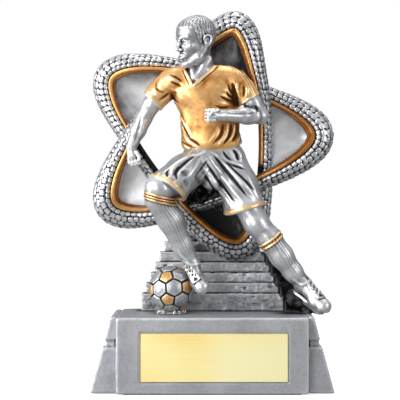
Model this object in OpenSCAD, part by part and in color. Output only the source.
// Footballer trophy: a painted cast-resin figure with a ball, standing on a plinth in front of a
// stepped back piece and an interlaced five-point star. The castings are glued on locating pins.
// Millimetres, +Z up, +X to the right, -Y towards the front. The origin is the centre of the
// underside, on the resting surface.

/* [Plinth] */
// Width of the plinth's centre block
block_w = 91; // [84:1:98]
// Depth of the centre block, front face to back face
block_d = 56; // [52:1:62]
// Height of the plinth above the resting surface
plinth_h = 36.6; // [34:0.2:40]
// Half width of the plinth at the pylons' feet
pylon_foot_x = 58; // [56:0.5:60]
// Half width of the plinth at the pylons' tops
pylon_top_x = 49.2; // [48:0.2:50]
// Depth of a pylon at its foot
pylon_d = 48.4; // [44:0.2:50]
// How far each pylon's front and back lean in towards the top
pylon_lean = 1.8; // [0:0.1:3]
// Wall of the hollow centre block
block_wall = 5.5; // [5:0.5:9]
// Solid top of the centre block
block_roof = 8; // [6:0.5:10]

/* [Name plate] */
// Width of the name plate
plate_w = 69; // [60:1:72]
// Height of the name plate
plate_h = 22.5; // [20:0.5:25]
// Thickness of the name plate
plate_t = 0.8; // [0.5:0.1:1.2]
// Height of the name plate's centre
plate_z = 17.8; // [16:0.1:19]

/* [Steps] */
// Number of steps in the back piece
step_count = 7; // [5:1:7]
// Height of the bottom step
first_rise = 8.6; // [7:0.1:10]
// Height of every other step
step_rise = 5.15; // [4.8:0.05:5.4]
// Half width of the bottom step
step_half_w = 35.4; // [33:0.1:37]
// How much narrower each step is, on each side
step_inset = 2.25; // [1.8:0.05:2.4]
// Where the bottom step's front stands
step_front_y = 11.5; // [10.5:0.5:12.5]
// How far each step's front is set back from the one below
step_tread = 0.9; // [0.6:0.1:1]
// Where the back of all the steps stands
step_back_y = 26; // [24:0.5:28]

/* [Star] */
// Height of the star's centre
star_z = 122.8; // [122:0.1:123.5]
// Sideways place of the star's centre
star_x = -4.5; // [-5:0.1:-4]
// Depth of the star's middle plane
star_y = 8.6; // [8:0.1:9]
// Radius of the star's rim line at its points
star_tip_r = 58.6; // [57:0.1:59]
// Radius of the star's rim line midway between two joined points
star_waist_r = 30.8; // [30:0.1:32]
// Turn of the star about its centre, in degrees
star_turn = 1; // [0:0.5:2]
// How far the rim weaves forwards and back where two strands cross
star_weave = 2.8; // [2:0.1:3]
// Half width of the rim, mean of tip and waist
rim_half_w = 4.7; // [4:0.1:5]
// Half depth of the rim
rim_half_d = 4.4; // [4:0.1:4.6]

/* [Ball] */
// Radius of the football
ball_r = 10.8; // [10.3:0.1:11]

/* [Pins] */
// Radius of the steel locating pins
pin_r = 1; // [0.8:0.1:1.2]
// Radial glue gap round each pin
pin_gap = 0.05; // [0.04:0.01:0.1]

/* [Hidden] */

silver = [0.66, 0.67, 0.69];
shade = [0.42, 0.43, 0.45];
gold = [0.83, 0.62, 0.32];
brass = [0.93, 0.82, 0.45];
steel = [0.75, 0.76, 0.78];
limb_fn = 20;
star_points = 5;
overshoot = 0.3;      // how much deeper a pin's hole is than the pin, at each end
eps = 0.01;

// ---- plinth ----
pad_t = 1.2;
pad_rebate = 0.6;
foot_z = pad_t - pad_rebate;
pad_margin = 3;
block_chamfer = 0.8;
plate_x = 0.9;
plate_recess = 0.5;
tape_t = 0.2;
notch_low_z = 21.8;
notch_high_z = 25.7;
notch_inset = 0.8;
dowel_r = 2;
dowel_len = 10;
dowel_at = [[-12, 10], [12, 10]];     // Y and Z of each pylon's two dowels
cavity_top = plinth_h - block_roof;
bolt_r = 2;
bolt_at = [[-20, 16.8], [20, 16.8]];
bolt_head_r = 4;
bolt_head_h = 3.5;
washer_r = 5.5;
washer_t = 1;
insert_r = 3.4;
insert_len = 8;
well_r = 6.2;         // clearance well through the ballast round each bolt head

// ---- figure: joint centres ----
neck_base = [-6.2, -5.5, 152.5];
neck_top = [-4.8, -6.5, 160];
skull = [-7.6, -8, 171];
r_shoulder = [-20.2, -4, 147.8];
l_shoulder = [13, -4.5, 147.8];
r_elbow = [-33.4, -2, 131];
r_wrist = [-39.4, -2, 117.6];
l_elbow = [23.8, -3.5, 132.6];
l_wrist = [4.6, -17.5, 132.4];
chest = [-4, -4.5, 141];
waist = [-1, -3, 128];
pelvis = [1.6, -2, 117];
crotch = [-0.6, -3, 106.4];
r_hip = [-4.5, -3.5, 113.5];
l_hip = [8.6, -4, 113];
r_knee = [-25.2, -22, 97.4];
l_knee = [22.3, -8, 81.8];
r_ankle = [-10.4, -7.5, 61.6];
l_ankle = [43.4, -3.5, 49.6];
r_heel = [-8.8, -3.5, 57.4];
r_toe = [-3.6, -14.5, 49.4];
l_heel = [42, -0.5, 44];
l_toe = [54, -11, 40.4];
ball_c = [-19.8, -2, plinth_h + 1.2 + ball_r];
fist_r = 3.4;

// ---- figure: where the castings part, as [point, direction to the outer piece, width cut] ----
neck_cut = [[-6, -6.2, 153.6], [0.1, -0.42, 0.9], 14];
r_sleeve_cut = [r_shoulder + 0.66 * (r_elbow - r_shoulder), r_elbow - r_shoulder, 15];
l_sleeve_cut = [l_shoulder + 0.56 * (l_elbow - l_shoulder), l_elbow - l_shoulder, 15];
waist_cut = [[0, -2.2, 118.4], [0.09, 0, -1], 50];
r_hem_cut = [r_hip + 0.8 * (r_knee - r_hip), r_knee - r_hip, 19];
l_hem_cut = [l_hip + 0.8 * (l_knee - l_hip), l_knee - l_hip, 19];
body_cuts = [neck_cut, r_sleeve_cut, l_sleeve_cut, waist_cut, r_hem_cut, l_hem_cut];
body_pin_len = 8;

// Bosses on the star that the figure's hand and elbow are glued to, as [foot, length]
boss_r = 2.3;
star_bosses = [
    [[-37.8, 8, 114.4], 9],
    [[25.2, 6, 132.4], 7]
];
web_front_y = -1.5;   // flat joint between the standing leg and the rib behind it

// ---- pins into the ground, the ball and the star, each as [centre, direction, length] ----
ground_pins_at = [
    [[46.4, -4.2, plinth_h], [0, 0, 1], 9],
    [[ball_c.x, ball_c.y, plinth_h], [0, 0, 1], 12],
    [[-9.6, ball_c.y - 3.6, 50.4], [1, -0.25, 0.1], 6]
];
star_pins_at = [
    [[6, 14.4, 70], [0, 1, 0], 8],
    [[16, 14.4, 69], [0, 1, 0], 8]
];
link_pins_at = concat(
    [for (b = star_bosses) [b[0] - [0, b[1], 0], [0, 1, 0], 5]],
    [[[38.4, web_front_y, 54.5], [0, 1, 0], 5]]
);

// Turns +Z to the given direction
module aim(d) {
    rotate([0, acos(d.z / norm(d)), atan2(d.y, d.x)]) children();
}

// A tapered limb with round ends
module limb(a, b, ra, rb) {
    hull() {
        translate(a) sphere(ra, $fn = limb_fn);
        translate(b) sphere(rb, $fn = limb_fn);
    }
}

// A ball stretched to the given half sizes
module egg(p, r) {
    translate(p) scale(r) sphere(1, $fn = limb_fn);
}

// What lies on the outer side of a cut, or on its inner side
module beyond(cut, side = 1) {
    w = cut[2];
    translate(cut[0]) aim(side * cut[1]) translate([-w / 2, -w / 2, 0]) cube([w, w, 40]);
}

// A locating pin, or the hole for it when grown by the glue gap
module pin(at, hole = false) {
    len = at[2] + (hole ? 2 * overshoot : 0);
    translate(at[0]) aim(at[1])
        cylinder(r = pin_r + (hole ? pin_gap : 0), h = len, center = true, $fn = 32);
}

module body_pin(cut, hole = false) {
    pin([cut[0], cut[1], body_pin_len], hole);
}

module chamfered_block(w, d, h, c) {
    x = w / 2;
    y = d / 2;
    linear_extrude(h) polygon([
        [-x + c, -y], [x - c, -y], [x, -y + c], [x, y - c],
        [x - c, y], [-x + c, y], [-x, y - c], [-x, -y + c]
    ]);
}

module dowels(side, gap = 0, extra = 0) {
    for (p = dowel_at)
        translate([side * block_w / 2, p.x, p.y]) rotate([0, 90, 0])
            cylinder(r = dowel_r + gap, h = dowel_len + 2 * extra, center = true, $fn = 32);
}

module bolt_shafts(r, z0, z1) {
    for (p = bolt_at)
        translate([p.x, p.y, z0]) cylinder(r = r, h = z1 - z0, $fn = 48);
}

module plate_seat(t, depth) {
    translate([plate_x - plate_w / 2, -block_d / 2 + plate_recess - depth, plate_z - plate_h / 2])
        cube([plate_w, t, plate_h]);
}

module pad_outline(margin) {
    translate([-block_w / 2 + margin, -block_d / 2 + margin])
        square([block_w - 2 * margin, block_d - 2 * margin]);
}

module base_block() {
    cavity = [block_w - 2 * block_wall, block_d - 2 * block_wall, cavity_top];
    color(silver) difference() {
        translate([0, 0, foot_z]) chamfered_block(block_w, block_d, plinth_h - foot_z, block_chamfer);
        translate([-cavity.x / 2, -cavity.y / 2, 0]) cube(cavity);
        translate([0, 0, -1]) linear_extrude(1 + pad_t) pad_outline(pad_margin);
        plate_seat(plate_recess + 1, plate_recess + 1);
        bolt_shafts(bolt_r + 0.25, 0, plinth_h + 1);
        dowels(1, pin_gap, overshoot);
        dowels(-1, pin_gap, overshoot);
        for (at = ground_pins_at) pin(at, true);
    }
}

// The right-hand pylon's outline across the plinth, between two heights
module pylon_slab(z0, z1, x0, x1, inset = 0) {
    lean0 = pylon_lean * (z0 - foot_z) / (plinth_h - foot_z);
    lean1 = pylon_lean * (z1 - foot_z) / (plinth_h - foot_z);
    y0 = pylon_d / 2 - lean0 - inset;
    y1 = pylon_d / 2 - lean1 - inset;
    intersection() {
        rotate([90, 0, 0]) translate([0, 0, -pylon_d / 2]) linear_extrude(pylon_d)
            polygon([[block_w / 2, z0], [x0 - inset, z0], [x1 - inset, z1], [block_w / 2, z1]]);
        translate([block_w / 2, 0, 0]) rotate([90, 0, 90]) linear_extrude(pylon_foot_x)
            polygon([[-y0, z0], [y0, z0], [y1, z1], [-y1, z1]]);
    }
}

module pylon() {
    slope = (pylon_foot_x - pylon_top_x) / (plinth_h - foot_z);
    low_x = pylon_foot_x - slope * (notch_low_z - foot_z);
    high_x = pylon_foot_x - slope * (notch_high_z - foot_z);
    difference() {
        union() {
            pylon_slab(foot_z, notch_low_z, pylon_foot_x, low_x);
            pylon_slab(notch_low_z, notch_high_z, low_x, high_x, notch_inset);
            pylon_slab(notch_high_z, plinth_h, high_x, pylon_top_x);
        }
        dowels(1, pin_gap, overshoot);
    }
}

module right_pylon() {
    color(silver) difference() {
        pylon();
        for (at = ground_pins_at) pin(at, true);
    }
}

module left_pylon() {
    color(silver) mirror([1, 0, 0]) pylon();
}

module pylon_dowels() {
    color(steel) for (side = [-1, 1]) dowels(side);
}

module base_pad() {
    color([0.1, 0.1, 0.11]) linear_extrude(pad_t) pad_outline(pad_margin + 0.3);
}

module ballast_core() {
    gap = 0.3;
    size = [block_w - 2 * block_wall - 2 * gap, block_d - 2 * block_wall - 2 * gap,
            cavity_top - pad_t - gap];
    color([0.8, 0.79, 0.76]) difference() {
        translate([-size.x / 2, -size.y / 2, pad_t]) cube(size);
        bolt_shafts(well_r, 0, plinth_h);
    }
}

module name_plate() {
    color(brass) plate_seat(plate_t, tape_t + plate_t);
}

module plate_tape() {
    color([0.9, 0.9, 0.9]) plate_seat(tape_t, tape_t);
}

// Height at which a step starts
function step_foot(i) = plinth_h + (i == 0 ? 0 : first_rise + (i - 1) * step_rise);

module step_back_piece() {
    color(shade) difference() {
        union() for (i = [0 : step_count - 1]) {
            x = step_half_w - i * step_inset;
            y = step_front_y + i * step_tread;
            translate([-x, y, step_foot(i)])
                cube([2 * x, step_back_y - y, step_foot(i + 1) - step_foot(i)]);
        }
        bolt_shafts(insert_r, plinth_h - 1, plinth_h + insert_len);
        for (at = star_pins_at) pin(at, true);
    }
}

module thread_inserts() {
    color(brass) difference() {
        bolt_shafts(insert_r, plinth_h, plinth_h + insert_len);
        bolt_shafts(bolt_r + pin_gap, plinth_h - 1, plinth_h + insert_len - 0.6);
    }
}

module clamp_bolts() {
    head_top = cavity_top - washer_t;
    color(steel) {
        bolt_shafts(bolt_r, head_top - eps, plinth_h + insert_len - 1.5);
        for (p = bolt_at)
            translate([p.x, p.y, head_top - bolt_head_h]) cylinder(r = bolt_head_r, h = bolt_head_h, $fn = 6);
    }
}

module clamp_washers() {
    color(steel) difference() {
        bolt_shafts(washer_r, cavity_top - washer_t, cavity_top);
        bolt_shafts(bolt_r + 0.2, 0, plinth_h);
    }
}

// The rough rib that fills the corner between the standing leg and the steps
module leg_web() {
    side_gap = 0.05;
    back_y = 18;
    stair = [
        for (i = [0 : 4]) let (x = step_half_w - i * step_inset + side_gap)
            each [[x, step_foot(i)], [x, step_foot(i + 1)]]
    ];
    color([0.12, 0.12, 0.13]) difference() {
        rotate([90, 0, 0]) translate([0, 0, -back_y]) linear_extrude(back_y - web_front_y)
            polygon(concat(stair, [[32.8, 65.8], [42.6, 50.5], [44, 44], [46.5, plinth_h]]));
        pin(link_pins_at[2], true);
    }
}

module turf_mound() {
    tuft_r = 1.2;
    tufts = 9;
    color(silver) difference() {
        union() {
            translate([ball_c.x, ball_c.y, plinth_h]) cylinder(r1 = 7, r2 = 4, h = 1.6, $fn = 40);
            for (i = [0 : tufts - 1])
                translate([ball_c.x + 6.4 * cos(40 * i), ball_c.y + 6.4 * sin(40 * i), plinth_h])
                    cylinder(r1 = tuft_r, r2 = 0.4, h = 1.5 + 0.3 * (i % 3), $fn = 16);
        }
        translate(ball_c) sphere(ball_r + pin_gap, $fn = 64);
        for (at = ground_pins_at) pin(at, true);
    }
}

module football() {
    color(silver) difference() {
        translate(ball_c) sphere(ball_r, $fn = 64);
        for (at = ground_pins_at) pin(at, true);
    }
}

// ---- star ----
star_a = (star_tip_r + star_waist_r) / 2;
star_b = (star_tip_r - star_waist_r) / 2;

// The rim's centre line, a five-pointed trochoid that winds twice round the centre
function star_line(t) = [
    star_x + star_a * cos(2 * t + star_turn) + star_b * cos(3 * t - star_turn),
    star_y + star_weave * sin(5 * t),
    star_z + star_a * sin(2 * t + star_turn) - star_b * sin(3 * t - star_turn)
];
// The direction along the line, seen from the front
function star_heading(t) = let (d = star_line(t + 0.1) - star_line(t - 0.1)) d / norm([d.x, 0, d.z]);
function rim_w(t) = rim_half_w + 1.2 * cos(5 * t);

// The rim's section at one place, a closed ring of points
function rim_ring(t) = let (
    c = star_line(t),
    h = star_heading(t),
    w = rim_w(t),
    d = rim_half_d,
    outline = [
        [-w, -d], [-0.4 * w, -1.1 * d], [0.4 * w, -0.75 * d], [0.9 * w, -0.1 * d],
        [w, 0.6 * d], [0.6 * w, d], [-w, 0.8 * d]
    ]
) [for (p = outline) [c.x + p.x * h.z, c.y + p.y, c.z - p.x * h.x]];

// A short length of the rim between two rings
module rim_piece(t0, t1) {
    ring = 7;
    sides = [for (j = [0 : ring - 1]) [j, j + ring, (j + 1) % ring + ring, (j + 1) % ring]];
    ends = [[for (j = [0 : ring - 1]) j], [for (j = [ring - 1 : -1 : 0]) ring + j]];
    hull() polyhedron(concat(rim_ring(t0), rim_ring(t1)), concat(ends, sides));
}

// The dished web that fills one point of the star, from the tip to the crossing
module lobe_web(i) {
    reach = 25;
    rotate([90, 0, 0]) translate([0, 0, -star_y - 3.4]) linear_extrude(2.6)
        polygon([for (t = [-reach : 5 : reach]) let (p = star_line(72 * i + t)) [p.x, p.z]]);
}

module boss(b, gap = 0) {
    translate(b[0]) rotate([90, 0, 0]) cylinder(r = boss_r + gap, h = b[1], $fn = 32);
}

module star_frame() {
    pieces = 130;
    turn = 360 / pieces;
    color(silver) difference() {
        union() {
            for (i = [0 : pieces - 1]) rim_piece(i * turn, ((i + 1) % pieces) * turn);
            for (i = [0 : star_points - 1]) lobe_web(i);
            for (b = star_bosses) boss(b);
        }
        for (at = star_pins_at) pin(at, true);
        for (i = [0, 1]) pin(link_pins_at[i], true);
    }
}

// ---- figure ----
module torso() {
    color(gold) difference() {
        union() {
            hull() {
                egg(r_shoulder, [6, 6.2, 6]);
                egg(l_shoulder, [6, 6.2, 6]);
                egg(neck_base, [6, 5.5, 6]);
                egg(chest, [15.4, 8.8, 9]);
            }
            hull() {
                egg(chest, [15.4, 8.8, 9]);
                egg(waist, [15.2, 8.2, 7]);
            }
            hull() {
                egg(waist, [15.2, 8.2, 7]);
                egg(pelvis, [15.2, 9, 6]);
            }
            limb(r_shoulder, r_elbow, 6.4, 6);
            limb(l_shoulder, l_elbow, 6.4, 5.6);
        }
        for (cut = [neck_cut, r_sleeve_cut, l_sleeve_cut, waist_cut]) {
            beyond(cut);
            body_pin(cut, true);
        }
    }
}

module head() {
    color(silver) difference() {
        union() {
            limb(neck_base, neck_top, 5, 4.6);
            hull() {
                egg(skull, [9.6, 9.2, 10]);
                egg([-12.4, -10.6, 160.6], [3.4, 3.6, 3.6]);
                egg([-5, -8, 163], [5.4, 6, 4]);
            }
            egg([-16.8, -11.4, 166.4], [1.4, 1.4, 2.4]);
        }
        beyond(neck_cut, -1);
        body_pin(neck_cut, true);
    }
}

module right_arm() {
    color(silver) difference() {
        union() {
            limb(r_sleeve_cut[0] - 0.2 * (r_elbow - r_shoulder), r_elbow, 4.2, 3.4);
            limb(r_elbow, r_wrist, 3.6, 2.4);
            limb(r_wrist, r_wrist + [0.8, -0.6, -4.4], 2.6, 2.8);
        }
        beyond(r_sleeve_cut, -1);
        body_pin(r_sleeve_cut, true);
        boss(star_bosses[0], pin_gap);
        pin(link_pins_at[0], true);
    }
}

module left_arm() {
    color(silver) difference() {
        union() {
            limb(l_sleeve_cut[0] - 0.2 * (l_elbow - l_shoulder), l_elbow, 4.2, 3.6);
            limb(l_elbow, l_wrist, 3.6, 2.5);
            limb(l_wrist, l_wrist + [-4, -1.6, -0.8], 2.8, fist_r);
        }
        beyond(l_sleeve_cut, -1);
        body_pin(l_sleeve_cut, true);
        boss(star_bosses[1], pin_gap);
        pin(link_pins_at[1], true);
    }
}

module shorts() {
    color(silver) difference() {
        union() {
            egg(pelvis, [14.4, 8.4, 8]);
            egg(crotch, [8, 6.5, 8]);
            limb(r_hip, r_knee, 8.2, 7.6);
            limb(l_hip, l_knee, 8.4, 7.6);
            hull() {
                egg(pelvis, [14.4, 8.4, 8]);
                egg(l_hip, [9, 8, 8]);
            }
        }
        beyond(waist_cut, -1);
        for (cut = [r_hem_cut, l_hem_cut]) beyond(cut);
        for (cut = [waist_cut, r_hem_cut, l_hem_cut]) body_pin(cut, true);
    }
}

module right_leg() {
    color(silver) difference() {
        union() {
            limb(r_hem_cut[0] - 0.1 * r_hem_cut[1], r_knee, 6, 5.4);
            limb(r_knee, r_knee + 0.35 * (r_ankle - r_knee), 5.4, 5.6);
            limb(r_knee + 0.35 * (r_ankle - r_knee), r_ankle, 5.6, 3.2);
            hull() {
                egg(r_ankle, [3.2, 3.2, 3.2]);
                egg(r_heel, [3, 3, 3]);
                egg(r_toe, [3.4, 3.2, 2.6]);
            }
        }
        beyond(r_hem_cut, -1);
        body_pin(r_hem_cut, true);
        translate(ball_c) sphere(ball_r + pin_gap, $fn = 64);
        pin(ground_pins_at[2], true);
    }
}

module left_leg() {
    color(silver) difference() {
        union() {
            limb(l_hem_cut[0] - 0.1 * l_hem_cut[1], l_knee, 6, 5.4);
            limb(l_knee, l_knee + 0.35 * (l_ankle - l_knee), 5.4, 5.6);
            limb(l_knee + 0.35 * (l_ankle - l_knee), l_ankle, 5.6, 3.4);
            hull() {
                egg(l_ankle, [3.4, 3.4, 3.4]);
                egg(l_heel, [3.4, 3.4, 3.4]);
                egg(l_toe, [4, 4, 3]);
                translate([48, -6, plinth_h]) cylinder(r = 3.4, h = 2, $fn = 24);
            }
        }
        beyond(l_hem_cut, -1);
        body_pin(l_hem_cut, true);
        translate([-100, -100, plinth_h - 50]) cube([200, 200, 50]);
        translate([24, web_front_y, plinth_h]) cube([40, 20, 30]);
        pin(ground_pins_at[0], true);
        pin(link_pins_at[2], true);
    }
}

module figure_pins() {
    color(steel) for (cut = body_cuts) body_pin(cut);
}

module ground_pins() {
    color(steel) for (at = ground_pins_at) pin(at);
}

module star_pins() {
    color(steel) for (at = star_pins_at) pin(at);
}

module link_pins() {
    color(steel) for (at = link_pins_at) pin(at);
}

base_block();
left_pylon();
right_pylon();
pylon_dowels();
base_pad();
ballast_core();
name_plate();
plate_tape();
step_back_piece();
clamp_bolts();
clamp_washers();
thread_inserts();
leg_web();
turf_mound();
football();
star_frame();
torso();
head();
right_arm();
left_arm();
shorts();
right_leg();
left_leg();
figure_pins();
ground_pins();
star_pins();
link_pins();
